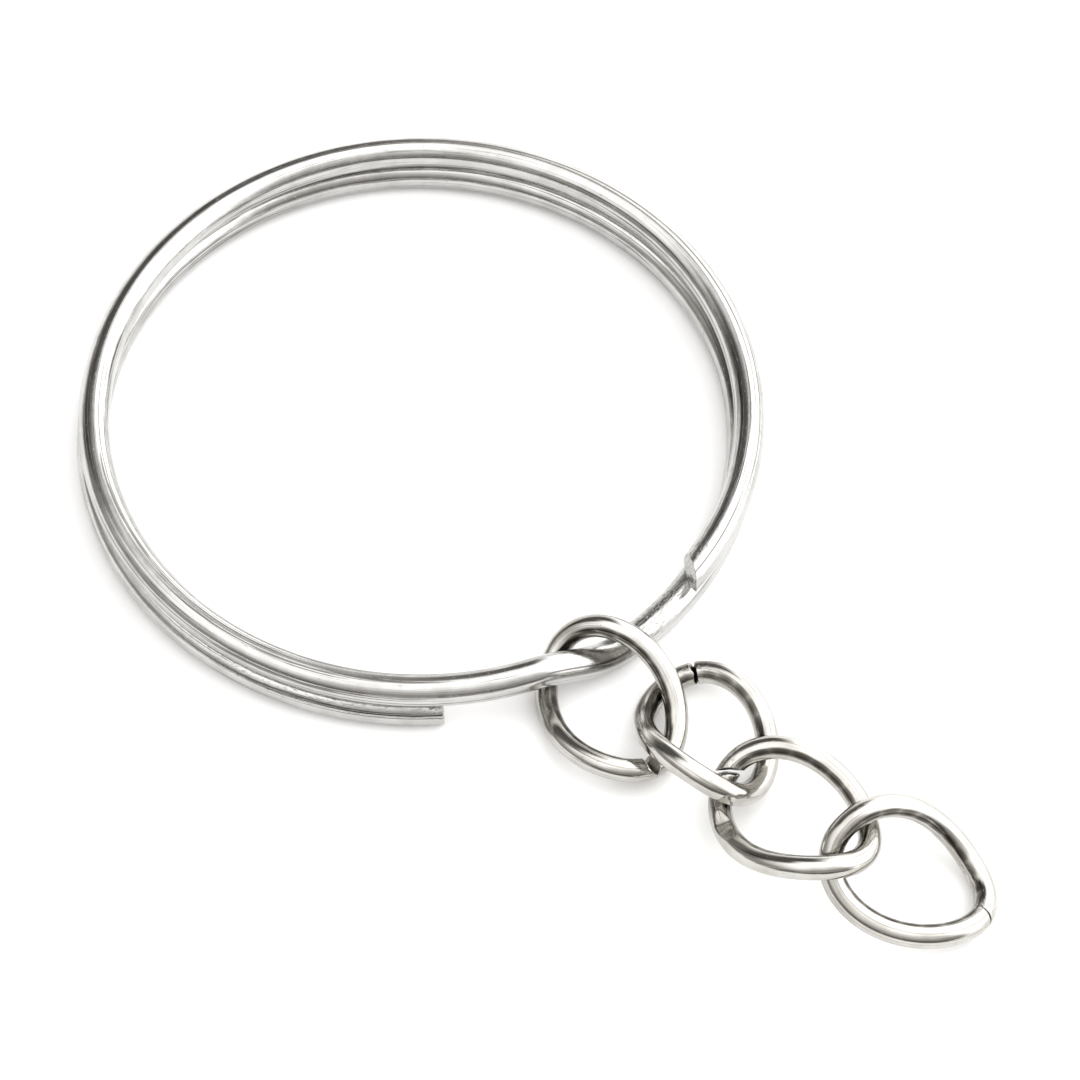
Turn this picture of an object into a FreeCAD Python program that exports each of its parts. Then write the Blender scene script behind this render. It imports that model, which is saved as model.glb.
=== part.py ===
import FreeCAD, Part
import math
import os

# Split key ring with a short curb chain, all in plated steel wire.
#
# The ring is one round wire wound twice.  Its two coils lie on top of each other and are
# joined by a jog, where the wire steps from the lower coil to the upper one.  Four twisted
# oval links hang on it: the first is threaded on the ring at the jog, each next one on the
# link before.  Every link is one bent wire whose two ends meet at an open seam.
#
# Frame: origin in the middle of the ring, on the plane the ring lies on; +Z up through the
# ring; +X along the chain.  Millimetres and degrees.

doc = FreeCAD.newDocument("split_key_ring")

# ---------------------------------------------------------------- driving dimensions
sheet = doc.addObject("Spreadsheet::Sheet", "Sizes")
SIZES = [
    ("ring_outer", 30.0),        # outside diameter of each coil
    ("ring_wire", 1.36),         # diameter of the ring's wire
    ("coil_gap", 0.03),          # air between the lower and the upper coil
    ("coil_shift", 0.23),        # how far the lower coil sits off the upper one's centre
    ("coil_shift_angle", 257.0),  # direction of that shift
    ("low_end_angle", -36.5),    # where the lower coil's free end is cut
    ("jog_low_angle", -4.0),     # where the jog leaves the lower coil
    ("jog_high_angle", -22.0),   # where the jog reaches the upper coil
    ("high_end_angle", 11.8),    # where the upper coil's free end is cut
    ("link_length", 7.81),       # outside length of a link
    ("link_width", 6.08),        # outside width of a link
    ("link_wire", 0.98),         # diameter of a link's wire
    ("link_twist", 50.8),        # twist of a link from one end to the other
    ("seam_gap", 0.12),          # gap between the two wire ends of a link
    ("ring_clearance", 0.09),    # air between the ring and the first link, where they meet
    ("link_clearance", 0.07),    # air between two links, where they meet
]
for row, (alias, value) in enumerate(SIZES, start=1):
    sheet.set("A%d" % row, alias)
    sheet.set("B%d" % row, str(value))
    sheet.setAlias("B%d" % row, alias)
doc.recompute()


def size(alias):
    return float(sheet.get(alias))


# ---------------------------------------------------------------- how the links lie
# holder_at: place on the wire that holds the link, as an angle round the ring or round
#   the oval of the link before;  own_at: the place on this link's oval that hangs there.
# lean: azimuth and elevation of the line from the holder's wire to this link's wire.
# turn: yaw, pitch and roll of the link.  seam_at: place of the open seam on the oval.
LINKS = [
    {"name": "link_1", "holder_at": -15.1, "own_at": 210.5, "lean": (-173.7, -39.2),
     "turn": (-12.27, 5.08, 11.60), "seam_at": 358.0},
    {"name": "link_2", "holder_at": 76.5, "own_at": 212.8, "lean": (-154.9, -58.1),
     "turn": (-29.03, -15.12, -11.34), "seam_at": 171.5},
    {"name": "link_3", "holder_at": 11.5, "own_at": 208.8, "lean": (-144.8, -47.7),
     "turn": (4.64, -10.56, 2.28), "seam_at": 181.0},
    {"name": "link_4", "holder_at": 46.5, "own_at": 134.2, "lean": (93.0, 79.2),
     "turn": (34.72, 19.51, 9.39), "seam_at": 341.0},
]


# ---------------------------------------------------------------- wire centrelines
def ring_point(angle):
    """Centre of the ring's wire; angle falls from the lower free end to the upper one."""
    radius = (size("ring_outer") - size("ring_wire")) / 2
    first = size("low_end_angle")
    jog_from = size("jog_low_angle") - 360
    jog_to = size("jog_high_angle") - 360
    share = min(max((jog_from - angle) / (jog_from - jog_to), 0.0), 1.0)
    rise = share * share * (3 - 2 * share)
    low = size("ring_wire") / 2
    step = size("ring_wire") + size("coil_gap")
    shift = size("coil_shift") * (1 - rise)
    way = math.radians(size("coil_shift_angle"))
    here = math.radians(angle)
    assert angle <= first + 1e-6
    return FreeCAD.Vector(radius * math.cos(here) + shift * math.cos(way),
                          radius * math.sin(here) + shift * math.sin(way),
                          low + step * rise)


def link_point(place):
    """Centre of a link's wire in the link's own frame, long way along X."""
    half_long = (size("link_length") - size("link_wire")) / 2
    half_wide = (size("link_width") - size("link_wire")) / 2
    along = math.cos(math.radians(place))
    across = half_wide * math.sin(math.radians(place))
    tilt = -math.radians(size("link_twist") / 2) * along
    return FreeCAD.Vector(half_long * along, across * math.cos(tilt), across * math.sin(tilt))


def direction(curve, place, step=0.01):
    chord = curve(place + step) - curve(place - step)
    return chord.normalize()


def arc_edge(start, corner, end):
    """Arc from start to end whose end tangents meet at corner."""
    middle = (start + end) / 2
    bulge = middle - corner
    if bulge.Length < 1e-6:
        return Part.LineSegment(start, end).toShape()
    side = (start - corner).Length
    half_angle = math.asin(min(1.0, (start - middle).Length / side))
    radius = side * math.tan(half_angle)
    top = corner + bulge.normalize() * (math.hypot(side, radius) - radius)
    return Part.Arc(start, top, end).toShape()


def arc_wire(points, ways):
    """Smooth wire of tangent arcs, two from each point to the next."""
    edges = []
    for here, there, way_out, way_in in zip(points, points[1:], ways, ways[1:]):
        gap = there - here
        both = way_out + way_in
        bend = 2 * (1 - way_out.dot(way_in))
        reach = gap.dot(both)
        if bend < 1e-9:
            edges.append(Part.LineSegment(here, there).toShape())
            continue
        side = (-reach + math.sqrt(reach * reach + bend * gap.dot(gap))) / bend
        side = side if side > 0 else gap.Length / 2
        corner_out = here + way_out * side
        corner_in = there - way_in * side
        joint = (corner_out + corner_in) / 2
        edges.append(arc_edge(here, corner_out, joint))
        edges.append(arc_edge(joint, corner_in, there))
    return Part.Wire(edges)


def swept_wire(name, points, ways, wire_size):
    """Round wire of the sheet's wire_size along the points, as a Part::Sweep."""
    spine = doc.addObject("Part::Feature", name + "_spine")
    spine.Shape = arc_wire(points, ways)
    section = doc.addObject("Part::Circle", name + "_section")
    section.setExpression("Radius", "Sizes.%s / 2" % wire_size)
    section.Placement = FreeCAD.Placement(
        points[0], FreeCAD.Rotation(FreeCAD.Vector(0, 0, 1), ways[0]))
    sweep = doc.addObject("Part::Sweep", name)
    sweep.Sections = [section]
    sweep.Spine = (spine, ["Edge%d" % (n + 1) for n in range(len(spine.Shape.Edges))])
    sweep.Solid = True
    sweep.Frenet = False
    sweep.Label = name
    return sweep


# ---------------------------------------------------------------- the split ring
def ring_stations():
    """Angles along the wire: even on the coils, close together on the jog."""
    stops = [size("low_end_angle"), size("jog_low_angle") - 360,
             size("jog_high_angle") - 360, size("high_end_angle") - 720]
    counts = [13, 6, 12]
    stations = [stops[0]]
    for begin, finish, count in zip(stops, stops[1:], counts):
        stations += [begin + (finish - begin) * n / count for n in range(1, count + 1)]
    return stations


ring_angles = ring_stations()


def ring_way(angle):
    here = max(size("high_end_angle") - 720, min(size("low_end_angle"), angle))
    after = ring_point(min(here, size("low_end_angle")) - 0.01)
    before = ring_point(min(here + 0.01, size("low_end_angle")))
    return (after - before).normalize()


parts = []
parts.append(swept_wire("split_ring", [ring_point(a) for a in ring_angles],
                        [ring_way(a) for a in ring_angles], "ring_wire"))

# ---------------------------------------------------------------- the chain's links
LINK_STATIONS = 20


def link_stations(seam_at):
    """Places along a link's oval, from one face of the open seam to the other."""
    here = link_point(seam_at)
    pace = (link_point(seam_at + 0.5) - here).Length / 0.5
    half_gap = size("seam_gap") / 2 / pace
    begin, finish = seam_at + half_gap, seam_at + 360 - half_gap
    return [begin + (finish - begin) * n / LINK_STATIONS for n in range(LINK_STATIONS + 1)]


def placed(line, placement):
    copy = line.copy()
    copy.Placement = placement
    return copy


def settled(line, placement, holder_line, apart):
    """Placement pushed off the holder's wire until the two centrelines are apart enough
    all round, as a link shifts in its neighbour's eye when the wire is thicker."""
    for _ in range(SETTLE_STEPS):
        distance, pairs, _info = placed(line, placement).distToShape(holder_line)
        if distance >= apart - 1e-4:
            break
        own, held = pairs[0][0], pairs[0][1]
        push = (own - held).normalize() * (apart - distance)
        placement = FreeCAD.Placement(placement.Base + push, placement.Rotation)
    return placement


SETTLE_STEPS = 60
holder_radius = size("ring_wire") / 2
holder_clearance = size("ring_clearance")
holder_place = None
holder_line = arc_wire([ring_point(a) for a in ring_angles], [ring_way(a) for a in ring_angles])
for link in LINKS:
    if holder_place is None:
        held = ring_point(link["holder_at"] - 360)
    else:
        held = holder_place.multVec(link_point(link["holder_at"]))
    azimuth, elevation = (math.radians(value) for value in link["lean"])
    lean = FreeCAD.Vector(math.cos(elevation) * math.cos(azimuth),
                          math.cos(elevation) * math.sin(azimuth), math.sin(elevation))
    apart = holder_radius + size("link_wire") / 2 + holder_clearance
    turn = FreeCAD.Rotation(*link["turn"])
    centre = held + lean * apart - turn.multVec(link_point(link["own_at"]))
    places = link_stations(link["seam_at"])
    points = [link_point(a) for a in places]
    ways = [direction(link_point, a) for a in places]
    hanging = settled(arc_wire(points, ways), FreeCAD.Placement(centre, turn),
                      holder_line, apart)
    sweep = swept_wire(link["name"], points, ways, "link_wire")
    sweep.Placement = hanging
    parts.append(sweep)
    holder_place = hanging
    holder_line = placed(arc_wire(points, ways), hanging)
    holder_radius = size("link_wire") / 2
    holder_clearance = size("link_clearance")

doc.recompute()

# ---------------------------------------------------------------- checks and files
for item in doc.Objects:
    if "Invalid" in item.State or "Error" in item.State:
        raise RuntimeError("%s did not build: %s" % (item.Name, item.State))
for item in parts:
    if item.Shape.isNull() or not item.Shape.isValid() or len(item.Shape.Solids) != 1:
        raise RuntimeError("%s is not one valid solid" % item.Label)

os.makedirs("parts", exist_ok=True)
for item in parts:
    item.Shape.exportStep("parts/%s.step" % item.Label)
    box = item.Shape.BoundBox
    print("%-11s volume %8.3f  x %.2f..%.2f  y %.2f..%.2f  z %.2f..%.2f" % (
        item.Label, item.Shape.Volume, box.XMin, box.XMax, box.YMin, box.YMax,
        box.ZMin, box.ZMax))
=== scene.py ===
import bpy
import math
import numpy as np
from mathutils import Matrix, Vector


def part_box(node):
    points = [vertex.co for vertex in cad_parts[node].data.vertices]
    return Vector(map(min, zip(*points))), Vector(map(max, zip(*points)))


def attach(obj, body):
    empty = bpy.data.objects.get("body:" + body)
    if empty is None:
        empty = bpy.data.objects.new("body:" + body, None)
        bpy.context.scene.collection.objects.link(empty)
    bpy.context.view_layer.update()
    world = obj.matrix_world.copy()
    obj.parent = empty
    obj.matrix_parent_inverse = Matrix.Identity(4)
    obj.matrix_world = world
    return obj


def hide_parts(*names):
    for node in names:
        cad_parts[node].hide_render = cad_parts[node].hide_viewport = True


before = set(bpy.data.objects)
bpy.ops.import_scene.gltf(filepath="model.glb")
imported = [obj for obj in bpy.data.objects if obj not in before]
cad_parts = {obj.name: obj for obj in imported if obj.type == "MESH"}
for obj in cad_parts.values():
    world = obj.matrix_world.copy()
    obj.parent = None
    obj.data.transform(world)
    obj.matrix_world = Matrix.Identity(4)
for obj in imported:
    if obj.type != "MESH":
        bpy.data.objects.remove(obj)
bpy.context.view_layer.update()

MM = 0.001
ROUND = 2 * math.pi
PHOTO_TURN = 46    # degrees from the frame's x axis to the photo's left-to-right direction

# ------------------------------------------------------------------ sizes, in millimetres
RING_OUTER, RING_WIRE = 30.0, 1.36
COIL_GAP, COIL_SHIFT, COIL_SHIFT_ANGLE = 0.03, 0.23, 257.0
LOW_END, JOG_LOW, JOG_HIGH, HIGH_END = -36.5, -4.0, -22.0, 11.8
LINK_LENGTH, LINK_WIDTH, LINK_WIRE, LINK_TWIST = 7.81, 6.08, 0.98, 50.8
# gap at each link's open seam
SEAM_GAPS = {"link_1": 0.17, "link_2": 0.14, "link_3": 0.18, "link_4": 0.07}
# yaw, pitch and roll of each link, and where its open seam is on the oval, in degrees
LINKS = {
    "link_1": ((-12.27, 5.08, 11.60), 358.0),
    "link_2": ((-29.03, -15.12, -11.34), 171.5),
    "link_3": ((4.64, -10.56, 2.28), 181.0),
    "link_4": ((34.72, 19.51, 9.39), 341.0),
}


# ------------------------------------------------------------------ wire centrelines
def ring_line(count=6000):
    """Centreline of the ring: the lower coil, the jog that climbs one wire, the upper coil."""
    angle = np.linspace(LOW_END, HIGH_END - 720, count)
    start, finish = JOG_LOW - 360, JOG_HIGH - 360
    share = np.clip((start - angle) / (start - finish), 0, 1)
    rise = share * share * (3 - 2 * share)
    radius = (RING_OUTER - RING_WIRE) / 2
    shift = COIL_SHIFT * (1 - rise)
    way = math.radians(COIL_SHIFT_ANGLE)
    here = np.radians(angle)
    height = RING_WIRE / 2 + (RING_WIRE + COIL_GAP) * rise
    return np.c_[radius * np.cos(here) + shift * math.cos(way),
                 radius * np.sin(here) + shift * math.sin(way), height]


def link_line(name, turn, seam, count=3000):
    """Centreline from seam to seam, and the link's middle, placed so that its box is the CAD
    node's."""
    place = np.radians(np.linspace(seam, seam + 360, count))
    along = np.cos(place)
    across = (LINK_WIDTH - LINK_WIRE) / 2 * np.sin(place)
    tilt = -math.radians(LINK_TWIST / 2) * along
    own = np.c_[(LINK_LENGTH - LINK_WIRE) / 2 * along, across * np.cos(tilt),
                across * np.sin(tilt)]
    yaw, pitch, roll = (math.radians(v) for v in turn)
    turned = (Matrix.Rotation(yaw, 3, "Z") @ Matrix.Rotation(pitch, 3, "Y")
              @ Matrix.Rotation(roll, 3, "X"))
    own = own @ np.array(turned).T
    box = np.array([list(corner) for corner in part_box(name)]) / MM
    middle = box.mean(0) - (own.min(0) + own.max(0)) / 2
    return own + middle, middle


class Line:
    """A centreline by arc length, with a frame carried along it without twist."""

    def __init__(self, points):
        step = np.linalg.norm(np.diff(points, axis=0), axis=1)
        self.at = np.r_[0, np.cumsum(step)]
        self.length = self.at[-1]
        self.points = points
        way = np.gradient(points, self.at, axis=0)
        way /= np.linalg.norm(way, axis=1)[:, None]
        side = np.zeros_like(way)
        first = np.cross(way[0], [0, 0, 1.0])
        side[0] = first / np.linalg.norm(first)
        for n in range(1, len(way)):
            s = side[n - 1] - way[n] * (side[n - 1] @ way[n])
            side[n] = s / np.linalg.norm(s)
        self.way, self.side = way, side
        self.up = np.cross(side, way)

    def read(self, rows, s):
        """The points, directions or sides in rows, at the arc lengths s."""
        return np.stack([np.interp(s, self.at, rows[:, k]) for k in range(3)], -1)

    def theta(self, s, direction):
        """Angle round the wire at s that looks along direction."""
        d = np.array(direction, float)
        return math.atan2(d @ self.read(self.up, np.array([s]))[0],
                          d @ self.read(self.side, np.array([s]))[0])


# ------------------------------------------------------------------ wire surface
EDGE = np.array([0, 0.08, 0.22, 0.42, 0.68])    # where the rows on a rounded edge lie
WEAR_WIDTH, STAIN_AND_REFLECTION_WIDTH = 0.7, 0.42             # reach round the wire, in radians
CUT_LANE = -20                                  # keeps the cut faces' pattern off the wire's


def soft_noise(s, theta, seed, scale):
    """Smooth small-scale variation over a wire, from a few seeded waves."""
    rng = np.random.default_rng(seed)
    total = 0
    for _ in range(9):
        total = total + np.sin(s * rng.normal(0, scale) + rng.integers(0, 3) * theta
                               + rng.uniform(0, ROUND))
    return total / 9


def facing(line, T, s, direction):
    """Angle of each point round the wire from the side that faces a direction at s."""
    return np.angle(np.exp(1j * (T - line.theta(s, direction))))


def rows_along(first, last, radius, rounding, spacing):
    """Arc length of each row of points, and how much the rounded edges shrink it."""
    share = np.linspace(0, 1, int((last - first) / spacing) + 1)
    between = first + rounding[0] + share * (last - first - rounding[0] - rounding[1])
    rows = np.r_[first + EDGE * rounding[0], between, last - EDGE[::-1] * rounding[1]]
    shrink = np.ones(len(rows))
    curve = np.sqrt(1 - (1 - EDGE) ** 2)
    shrink[:len(curve)] = 1 - (1 - curve) * rounding[0] / radius
    shrink[-len(curve):] = 1 - (1 - curve[::-1]) * rounding[1] / radius
    return rows, shrink


def knocked(line, S, T, R, radius, dents, flats):
    """The radius at each point once the dents and flats are taken off."""
    for s, direction, length, width, depth in dents:
        a = facing(line, T, s, direction) * radius
        R = R - depth * np.exp(-((S - s) / length) ** 2 - (a / width) ** 2)
    for s, direction, length, depth in flats:
        a = facing(line, T, s, direction)
        deep = depth * np.clip(1.25 - np.abs(S - s) / (length / 2), 0, 1)
        limit = (radius - deep) / np.maximum(np.cos(a), 0.05)
        R = np.where((np.abs(a) < 1.2) & (deep > 0), np.minimum(R, limit), R)
    return R


def cut_short(line, S, T, R, radius, first, last, ends, seed):
    """Arc lengths once each lengthwise line stops where it meets its leaning, uneven cut."""
    S_cut = S.copy()
    for which, (tilt, lean, _rounding, rough, burr) in enumerate(ends):
        s_end = first if which == 0 else last
        reach = R * np.cos(facing(line, T, s_end, lean)) * math.tan(math.radians(tilt))
        reach += rough * radius * soft_noise(3 * np.cos(T), T, seed + 20 + which, 2.0)
        if burr:
            direction, width, length = burr
            reach -= length * np.exp(-np.abs(facing(line, T, s_end, direction) / width) ** 1.5)
        fade = np.clip(1 - np.abs(S - s_end) / (3.0 * radius), 0, 1)
        S_cut += (reach if which == 0 else -reach) * fade
    return S_cut


def marks(line, S, T, wears, stains_and_reflections):
    """How worn each point is, and how dark from tarnish and painted dark reflection, from 0 to 1.
    """
    worn, stain_and_reflection_level = np.zeros_like(S), np.zeros_like(S)
    for s, direction, length, amount in wears:
        near = np.exp(-((S - s) / length) ** 2)
        if direction is not None:
            near = near * np.exp(-(facing(line, T, s, direction) / WEAR_WIDTH) ** 2)
        worn = np.maximum(worn, amount * near)
    for s, direction, length, amount in stains_and_reflections:
        a = facing(line, T, s, direction)
        near = np.exp(-((S - s) / length) ** 2 - (a / STAIN_AND_REFLECTION_WIDTH) ** 4)
        stain_and_reflection_level = np.maximum(stain_and_reflection_level, amount * near)
    return worn, stain_and_reflection_level


def joined(base, start, around):
    """Faces between two rings of points, numbered from base and from start."""
    return [(base + j, base + (j + 1) % around, start + (j + 1) % around, start + j)
            for j in range(around)]


def cut_face(rim, base, start, outward, rough, seed):
    """Points and faces that close a cut end, slightly uneven as sheared metal is. base is the
    number of the rim's first point, and start the number of the first new one."""
    around = len(rim)
    theta = np.arange(around) * ROUND / around
    mid = rim.mean(0)
    points, faces = [], []
    for part in (0.93, 0.75, 0.5, 0.25):
        bump = rough * soft_noise(6 * part + 0 * theta, theta, seed, 3.0)
        points.append(mid + (rim - mid) * part + outward * bump[:, None])
        faces += joined(base, start, around)
        base, start = start, start + around
    points.append(mid[None])
    faces += [(base + j, base + (j + 1) % around, start) for j in range(around)]
    return np.vstack(points), faces


def store(mesh, label, kind, values):
    """Keeps a value for each point of the mesh, for the material to read."""
    attribute = mesh.attributes.new(label, kind, "POINT")
    attribute.data.foreach_set("vector" if kind == "FLOAT_VECTOR" else "value",
                               values.astype(np.float32).reshape(-1))


def wire(name, line, radius, ends, spacing, around, body, node, material,
         gap=0.0, flats=(), dents=(), wears=(), stains_and_reflections=(), seed=1, wave=0.0):
    """A wire as one smooth closed mesh that stands for a CAD node. Lengths are in millimetres,
    and s is an arc length along the line.
    ends: for each end, the cut's tilt in degrees, the direction it leans, the edge's rounding,
    the roughness, and a burr (direction, width in radians, length) or None.
    flats: (s, direction, length, depth). dents: (s, direction, length, width, depth).
    wears: (s, direction or None for all round, length, amount). stains_and_reflections: (s,
    direction, length, amount) of dark streaks, partly tarnish and partly painted dark reflection."""
    first, last = gap / 2, line.length - gap / 2
    rows, shrink = rows_along(first, last, radius, [end[2] for end in ends], spacing)
    S, T = np.meshgrid(rows, np.arange(around) * ROUND / around, indexing="ij")
    R = radius * shrink[:, None] * np.ones_like(T)
    R = R * (1 + wave * soft_noise(S, T, seed, 1.1)
             + 0.4 * wave * soft_noise(S, T, seed + 5, 3.5))
    R = knocked(line, S, T, R, radius, dents, flats)
    S_cut = cut_short(line, S, T, R, radius, first, last, ends, seed)
    S_safe = np.clip(S_cut, 0, line.length)
    centre = line.read(line.points, S_safe)
    way, side, up = (line.read(v, S_safe) for v in (line.way, line.side, line.up))
    P = centre + way * (S_cut - S_safe)[..., None] + R[..., None] * (
        np.cos(T)[..., None] * side + np.sin(T)[..., None] * up)

    verts = P.reshape(-1, 3)
    on_wire = len(verts)
    faces = []
    for row in range(len(rows) - 1):
        faces += joined(row * around, (row + 1) * around, around)
    points, more = cut_face(P[0], 0, len(verts), -way[0, 0], ends[0][3] * radius, seed + 40)
    verts = np.vstack([verts, points])
    faces += [face[::-1] for face in more]
    points, more = cut_face(P[-1], on_wire - around, len(verts), way[-1, 0],
                            ends[1][3] * radius, seed + 41)
    verts = np.vstack([verts, points])
    faces += more
    mesh = bpy.data.meshes.new(name)
    mesh.from_pydata((verts * MM).tolist(), [], faces)
    mesh.validate()
    mesh.polygons.foreach_set("use_smooth", [True] * len(mesh.polygons))

    # where a point is along and round the wire, how worn it is, how dark from tarnish and painted
    # dark reflection, and whether it is on a fresh cut
    worn, stain_and_reflection_level = marks(line, S, T, wears, stains_and_reflections)
    lane = np.full((len(verts), 3), float(CUT_LANE))
    lane[:on_wire] = np.c_[S.ravel(), radius * np.cos(T).ravel(), radius * np.sin(T).ravel()]
    lane[on_wire:, 1:] = verts[on_wire:, :2]
    plain = np.zeros(len(verts) - on_wire)
    store(mesh, "lane", "FLOAT_VECTOR", lane)
    store(mesh, "wear", "FLOAT", np.r_[worn.ravel(), plain])
    store(mesh, "cut", "FLOAT", np.r_[np.zeros(on_wire), plain + 1])
    store(mesh, "stain_and_reflection", "FLOAT", np.r_[stain_and_reflection_level.ravel(), plain])
    mesh.materials.append(material)
    piece = bpy.data.objects.new(name, mesh)
    bpy.context.scene.collection.objects.link(piece)
    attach(piece, body)
    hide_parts(node)


# ------------------------------------------------------------------ plated metal
class Nodes:
    """Short ways to add and join shader nodes in one tree."""

    def __init__(self, tree):
        self.tree = tree

    def new(self, kind, **values):
        node = self.tree.nodes.new(kind)
        for key, value in values.items():
            setattr(node, key, value)
        return node

    def link(self, a, b):
        self.tree.links.new(a, b)

    def math(self, operation, a, b=None, clamp=False):
        node = self.new("ShaderNodeMath", operation=operation, use_clamp=clamp)
        for socket, value in zip(node.inputs, (a, b)):
            if value is None:
                continue
            if isinstance(value, (int, float)):
                socket.default_value = value
            else:
                self.link(value, socket)
        return node.outputs[0]

    def attribute(self, name, output):
        return self.new("ShaderNodeAttribute", attribute_name=name).outputs[output]

    def scaled(self, vector, scale):
        node = self.new("ShaderNodeVectorMath", operation="MULTIPLY")
        self.link(vector, node.inputs[0])
        node.inputs[1].default_value = scale
        return node.outputs[0]

    def noise(self, vector, scale, detail=3.0, rough=0.55):
        node = self.new("ShaderNodeTexNoise")
        self.link(vector, node.inputs["Vector"])
        node.inputs["Scale"].default_value = scale
        node.inputs["Detail"].default_value = detail
        node.inputs["Roughness"].default_value = rough
        return node.outputs[0]

    def ramp(self, value, low, high, out_low=0.0, out_high=1.0):
        """A smooth step from out_low to out_high as value goes from low to high."""
        node = self.new("ShaderNodeMapRange", interpolation_type="SMOOTHSTEP")
        self.link(value, node.inputs["Value"])
        for key, number in (("From Min", low), ("From Max", high), ("To Min", out_low),
                            ("To Max", out_high)):
            node.inputs[key].default_value = number
        return node.outputs["Result"]

    def mix(self, factor, a, b):
        node = self.new("ShaderNodeMix", data_type="RGBA")
        self.link(factor, node.inputs["Factor"])
        for socket, value in ((node.inputs[6], a), (node.inputs[7], b)):
            if isinstance(value, tuple):
                socket.default_value = value
            else:
                self.link(value, socket)
        return node.outputs[2]


def plated(name, bright, shade, tarnish, stain_and_reflection_dark, smooth, lines, pits, sheared):
    """Nickel-plated drawn wire. Colours: bright and shade in soft clouds, tarnish in lines and
    pits, and stain_and_reflection_dark in dark streaks that are partly tarnish and partly painted
    dark reflection. Numbers: smooth is the least roughness; lines, pits and sheared say
    how strong the drawn lines, the pits and the dark of the cut faces are."""
    material = bpy.data.materials.new(name)
    material.use_nodes = True
    n = Nodes(material.node_tree)
    shader = material.node_tree.nodes["Principled BSDF"]
    shader.inputs["Metallic"].default_value = 1.0
    lane = n.attribute("lane", "Vector")
    wear = n.attribute("wear", "Fac")
    cut = n.attribute("cut", "Fac")
    stain_and_reflection = n.attribute("stain_and_reflection", "Fac")

    # patterns: long drawn lines, finer ones, soft clouds, grain, pits and hairlines
    drawn = n.noise(n.scaled(lane, (0.09, 6.5, 6.5)), 1.0, 4.0, 0.62)
    fine = n.noise(n.scaled(lane, (0.30, 24.0, 24.0)), 1.0, 3.0, 0.6)
    cloud = n.noise(lane, 0.9, 3.0)
    grain = n.noise(lane, 13.0, 3.0, 0.65)
    speck = n.noise(n.scaled(lane, (4.5, 15.0, 15.0)), 1.0, 2.0, 0.5)
    few = n.ramp(speck, 0.71, 0.76)
    many = n.math("MULTIPLY", n.ramp(speck, 0.54, 0.64), wear)
    pit = n.math("MAXIMUM", n.math("MULTIPLY", few, pits), many)
    hair = n.noise(n.scaled(lane, (0.045, 12.0, 12.0)), 1.0, 2.0, 0.5)
    groove = n.math("MAXIMUM", n.ramp(drawn, 0.57, 0.65), n.ramp(hair, 0.60, 0.65))

    # colour
    tone = n.mix(n.ramp(cloud, 0.35, 0.68), bright, shade)
    tone = n.mix(n.math("MULTIPLY", groove, 0.80 * lines), tone, tarnish)
    # dark streaks: partly tarnish, partly painted dark reflection
    stain_and_reflection_streaks = n.ramp(n.math("ADD", stain_and_reflection, n.math("MULTIPLY", drawn, 0.55)), 0.52, 0.90)
    tone = n.mix(n.math("MULTIPLY", stain_and_reflection_streaks, 0.88), tone, stain_and_reflection_dark)
    tone = n.mix(n.math("MULTIPLY", n.ramp(fine, 0.58, 0.70), 0.30 * lines), tone, tarnish)
    tone = n.mix(n.math("MULTIPLY", pit, 0.80), tone, tarnish)
    tone = n.mix(n.math("MULTIPLY", cut, sheared), tone, tarnish)
    n.link(tone, shader.inputs["Base Color"])

    # roughness
    rough = n.ramp(grain, 0.3, 0.75, smooth, smooth + 0.06)
    rough = n.math("ADD", rough, n.math("MULTIPLY", n.ramp(fine, 0.5, 0.72), 0.08 * lines))
    rough = n.math("ADD", rough, n.math("MULTIPLY", pit, 0.22))
    rough = n.math("ADD", rough, n.math("MULTIPLY", cut, 0.14), clamp=True)
    n.link(rough, shader.inputs["Roughness"])

    # fine relief
    height = n.math("ADD", n.math("MULTIPLY", drawn, 0.60 * lines),
                    n.math("MULTIPLY", fine, 0.22 * lines))
    height = n.math("SUBTRACT", height, n.math("MULTIPLY", groove, 0.22 * lines))
    height = n.math("ADD", height, n.math("MULTIPLY", grain, 0.16 * lines))
    height = n.math("SUBTRACT", height, n.math("MULTIPLY", pit, 0.65))
    height = n.math("ADD", height, n.math("MULTIPLY", n.math("MULTIPLY", grain, cut), 1.2))
    bump = n.new("ShaderNodeBump")
    bump.inputs["Strength"].default_value = 0.5
    bump.inputs["Distance"].default_value = 0.03 * MM
    n.link(height, bump.inputs["Height"])
    n.link(bump.outputs["Normal"], shader.inputs["Normal"])
    return material


ring_metal = plated("ring_plating", bright=(0.55, 0.545, 0.535, 1), shade=(0.47, 0.465, 0.45, 1),
                    tarnish=(0.06, 0.056, 0.05, 1), stain_and_reflection_dark=(0.06, 0.056, 0.05, 1),
                    smooth=0.06, lines=1.0, pits=0.6, sheared=0.12)
link_metal = plated("link_plating", bright=(0.54, 0.53, 0.505, 1), shade=(0.44, 0.425, 0.395, 1),
                    tarnish=(0.12, 0.107, 0.09, 1), stain_and_reflection_dark=(0.055, 0.047, 0.038, 1),
                    smooth=0.05, lines=0.60, pits=0.45, sheared=0.30)

# ------------------------------------------------------------------ the split ring
ring = Line(ring_line())
full = ring.length


def photo_way(x, y, z=0.0):
    """A direction with x to the photo's right and y away from the camera, in the row frame."""
    c, s = math.cos(math.radians(PHOTO_TURN)), math.sin(math.radians(PHOTO_TURN))
    return (c * x - s * y, s * x + c * y, z)


def ring_s(low_coil, angle):
    """Arc length where the wire passes a direction, on the lower or the upper coil."""
    target = (LOW_END - angle) % 360
    if not low_coil:
        target = target + 360
    return target * full / (LOW_END - HIGH_END + 720)


def out_way(angle, tilt):
    """A direction away from the ring's middle at an angle, tilted upward, in degrees."""
    a, t = math.radians(angle), math.radians(tilt)
    return (math.cos(a) * math.cos(t), math.sin(a) * math.cos(t), math.sin(t))


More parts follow.
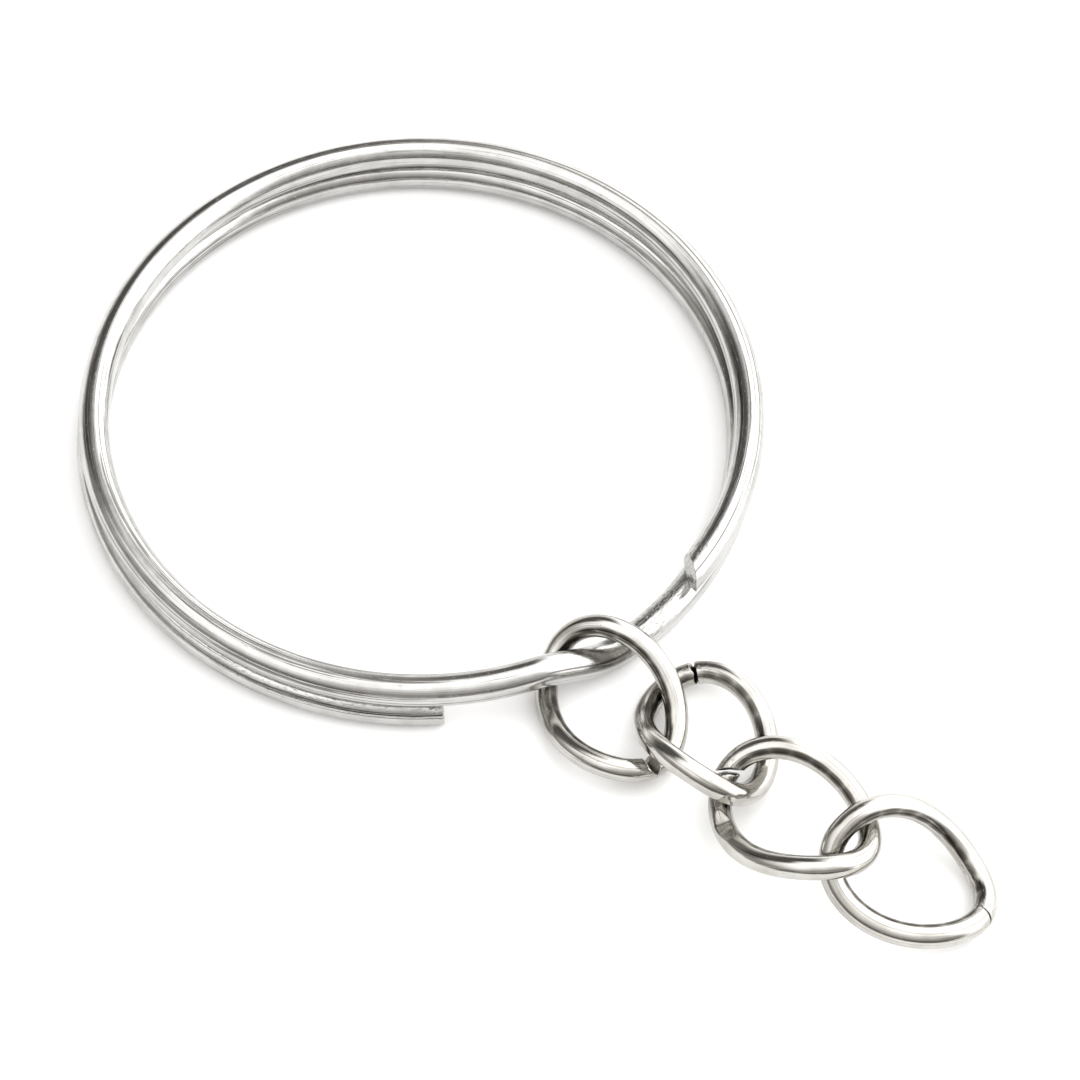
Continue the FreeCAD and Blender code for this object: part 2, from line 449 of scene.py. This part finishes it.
# dents: the lower free end, a nick on the left, the upper free end. Wear: the bottom, the lower
# end, the coil under the upper end, the upper end, beside the jog, the right and the left side.
wire("split_ring_wire", ring, RING_WIRE / 2,
     ends=((5, (0, 0, 1), 0.05, 0.03, None),
           (36, (-0.97, -0.23, 0.15), 0.03, 0.07, (out_way(12, 25), 0.5, 0.12))),
     spacing=0.11, around=56, body="split_ring", node="split_ring",
     material=ring_metal, seed=3, wave=0.0015,
     dents=[(0.30, out_way(-37, 75), 0.14, 0.20, 0.05),
            (1.05, out_way(-38, 50), 0.12, 0.15, 0.02),
            (ring_s(True, -127), out_way(-127, 5), 0.05, 0.5, 0.07),
            (full - 0.45, out_way(193, 30), 0.10, 0.16, 0.06),
            (full - 0.15, out_way(13, 20), 0.16, 0.20, 0.06)],
     wears=[(ring_s(True, -65), out_way(-65, 60), 7.5, 0.22),
            (0.3, out_way(-37, 70), 0.5, 0.8),
            (ring_s(True, 6), out_way(186, 55), 2.4, 1.0),
            (ring_s(True, -2), out_way(178, 60), 1.2, 0.8),
            (ring_s(True, 2), out_way(2, 50), 2.4, 0.6),
            (full - 0.4, out_way(194, 50), 1.2, 0.8),
            (ring_s(False, -30), out_way(150, 30), 1.5, 0.35),
            (ring_s(False, 35), out_way(35, 45), 8.0, 0.30),
            (ring_s(False, 215), out_way(215, 45), 5.0, 0.20)],
     # the streak on the jog's upper side is a painted dark reflection of link_1's wire
     stains_and_reflections=[(ring_s(True, -5), photo_way(-0.35, 0.25, 0.9), 1.0, 0.8)])

# ------------------------------------------------------------------ the links
# the two cut ends of each link, as wire() takes them
ENDS = {
    "link_1": ((26, (-0.2, 0.5, 0.85), 0.04, 0.10, None),
               (26, (-0.2, 0.5, 0.85), 0.04, 0.10, (photo_way(0.3, -0.9, 0.1), 0.5, 0.18))),
    "link_2": ((12, (0.2, 0.2, 0.95), 0.03, 0.06, (photo_way(0.1, -0.45, 0.8), 0.55, 0.17)),
               (12, (0.3, -0.6, 0.6), 0.03, 0.09, None)),
    "link_3": ((30, photo_way(-0.5, 0.6, 0.5), 0.14, 0.04, None),
               (34, photo_way(0.5, -0.75, -0.2), 0.03, 0.05,
                (photo_way(-0.6, 0.5, 0.5), 0.5, 0.12))),
    "link_4": ((10, (-0.9, 0.2, 0.3), 0.03, 0.03, None),
               (-14, (-0.9, 0.2, 0.3), 0.03, 0.03, None)),
}
for number, (name, (turn, seam)) in enumerate(LINKS.items()):
    points, middle = link_line(name, turn, seam)
    line = Line(points)
    length = line.length

    def inward(s):
        """Direction from the wire at s to the link's middle."""
        here = line.read(line.points, np.array([s]))[0]
        return tuple((middle - here) / np.linalg.norm(middle - here))

    def outward(s):
        return tuple(-v for v in inward(s))

    def inner_top(s):
        """Direction about halfway between inward and up."""
        return tuple(np.array(inward(s)) * 0.75 + np.array((0.0, 0.0, 0.72)))

    wears = [(0.25, None, 0.5, 0.35), (length - 0.25, None, 0.5, 0.35)]
    # dark streaks along each link's inner top: partly tarnish, partly painted dark reflection
    stains_and_reflections = [(s, inner_top(s), 0.9, 0.62) for s in np.arange(0.6, length - 0.4, 0.9)]
    dents, flats = [], []
    if name == "link_2":
        # scuffed on the inside in two places, with a knock beside the seam
        wears += [(2.9, inward(2.9), 0.9, 0.9), (9.5, inward(9.5), 0.8, 0.6)]
        dents += [(0.5, (0, 0, 1), 0.2, 0.2, 0.03)]
    if name == "link_3":
        # a clean pale facet on its left side, with no tarnish streak and no painted dark
        # reflection on it
        s = length * (233 - seam) / 360
        flats += [(s + 0.05, photo_way(-0.14, -0.25, 0.95), 1.45, 0.15)]
        stains_and_reflections = [one for one in stains_and_reflections if abs(one[0] - s) > 0.9]
        wears += [(s + 0.6, inward(s), 0.5, 0.5)]
    if name == "link_4":
        # chipped on the inside, near its seam
        s = length * (375 - seam) / 360
        wears += [(s, inward(s), 0.6, 1.0), (s + 0.8, inward(s + 0.8), 0.5, 0.7)]
        dents += [(s - 0.1, inward(s), 0.22, 0.25, 0.07),
                  (s + 0.45, inward(s + 0.4), 0.14, 0.2, 0.05)]
    if name == "link_1":
        # a knock on the outside, opposite its seam
        dents += [(length * 0.555, outward(length * 0.555), 0.25, 0.3, 0.05)]
        wears += [(length * 0.56, outward(length * 0.56), 0.5, 0.5)]
    wire(name + "_wire", line, LINK_WIRE / 2, ends=ENDS[name], spacing=0.06, around=48,
         body=name, node=name, material=link_metal, gap=SEAM_GAPS[name],
         dents=dents, flats=flats, wears=wears, stains_and_reflections=stains_and_reflections, seed=11 + 7 * number, wave=0.004)

# ------------------------------------------------------------------ floor, light and camera
FLOOR_SIZE, FLOOR_DROP = 1.6, 0.00002    # metres; the floor lies just below the lowest piece
bpy.ops.mesh.primitive_plane_add(size=FLOOR_SIZE, location=(0.0, 0.0, -FLOOR_DROP))
floor = bpy.context.object
floor.name = "floor"
paper = bpy.data.materials.new("floor_paper")
paper.use_nodes = True
surface = paper.node_tree.nodes["Principled BSDF"]
surface.inputs["Base Color"].default_value = (0.95, 0.95, 0.95, 1)
surface.inputs["Roughness"].default_value = 0.75
surface.inputs["Specular IOR Level"].default_value = 0.2
surface.inputs["Emission Color"].default_value = (1, 1, 1, 1)
surface.inputs["Emission Strength"].default_value = 0.10
floor.data.materials.append(paper)

# a soft white tent of light, brighter on the right, with darker parts on some sides
world = bpy.data.worlds.new("studio")
bpy.context.scene.world = world
world.use_nodes = True
w = Nodes(world.node_tree)
background = world.node_tree.nodes["Background"]
coordinate = w.new("ShaderNodeTexCoord").outputs["Generated"]
split = w.new("ShaderNodeSeparateXYZ")
w.link(coordinate, split.inputs[0])
x, y, z = split.outputs
flat_squared = w.math("ADD", w.math("MULTIPLY", x, x), w.math("MULTIPLY", y, y))
flat = w.math("SQRT", w.math("ADD", flat_squared, 0.0001))


def toward(azimuth, low, high):
    """0 to 1 as a direction comes near an azimuth of the photo, 0 being the photo's right. low
    and high are cosines of the angle between the two."""
    a = math.radians(PHOTO_TURN + azimuth)
    part = w.math("ADD", w.math("MULTIPLY", x, math.cos(a)), w.math("MULTIPLY", y, math.sin(a)))
    return w.ramp(w.math("DIVIDE", part, flat), low, high)


def patch(side, rise, fall):
    """A side of the tent, between the heights where it fades in and out."""
    heights = w.math("MULTIPLY", w.ramp(z, *rise), w.ramp(z, *fall, 1.0, 0.0))
    return w.math("MULTIPLY", side, heights)


TENT = 2.0
dark_side = patch(toward(125, 0.64, 0.90), (-0.10, 0.40), (0.76, 0.92))
low_band = patch(toward(238, -0.22, 0.16), (-0.12, 0.05), (0.28, 0.90))
camera_side = patch(toward(285, 0.55, 0.95), (0.35, 0.5), (0.80, 0.97))
front_line = patch(toward(270, 0.50, 0.90), (-0.05, 0.03), (0.22, 0.36))
level = TENT
for part, darker in ((dark_side, 0.93), (low_band, 0.77), (camera_side, 0.40), (front_line, 0.55)):
    left = w.math("SUBTRACT", 1.0, w.math("MULTIPLY", part, darker))
    level = w.math("MULTIPLY", left, level)
bright_side = toward(30, 0.2, 0.8)
level = w.math("MULTIPLY", level, w.math("ADD", 1.0, w.math("MULTIPLY", bright_side, 0.35)))
w.link(level, background.inputs["Strength"])
# the darker parts are slightly warm
w.link(w.mix(w.ramp(level, 0.2, 1.5), (1.0, 0.955, 0.91, 1), (1.0, 0.995, 0.985, 1)),
       background.inputs["Color"])

ELEVATION, TILT = math.radians(57.695), math.radians(2.563)
DISTANCE, LENS = 125.0, 97.80167    # millimetres
TARGET = (5.391, -6.699, 2.04)
level_back, raised = math.cos(ELEVATION), math.sin(ELEVATION)
back = Vector(photo_way(0, -level_back, raised))
level_right = Vector(photo_way(1, 0, 0))
level_up = back.cross(level_right)
right = level_right * math.cos(TILT) + level_up * math.sin(TILT)
upward = level_up * math.cos(TILT) - level_right * math.sin(TILT)
camera_data = bpy.data.cameras.new("camera")
camera_data.sensor_width = 36
camera_data.lens = LENS
camera_data.clip_start = 0.005
camera_data.clip_end = 10
camera = bpy.data.objects.new("camera", camera_data)
place = Matrix((right, upward, back)).transposed().to_4x4()
place.translation = (Vector(photo_way(*TARGET)) + back * DISTANCE) * MM
camera.matrix_world = place
bpy.context.scene.collection.objects.link(camera)
bpy.context.scene.camera = camera
bpy.context.scene.view_settings.view_transform = "Standard"
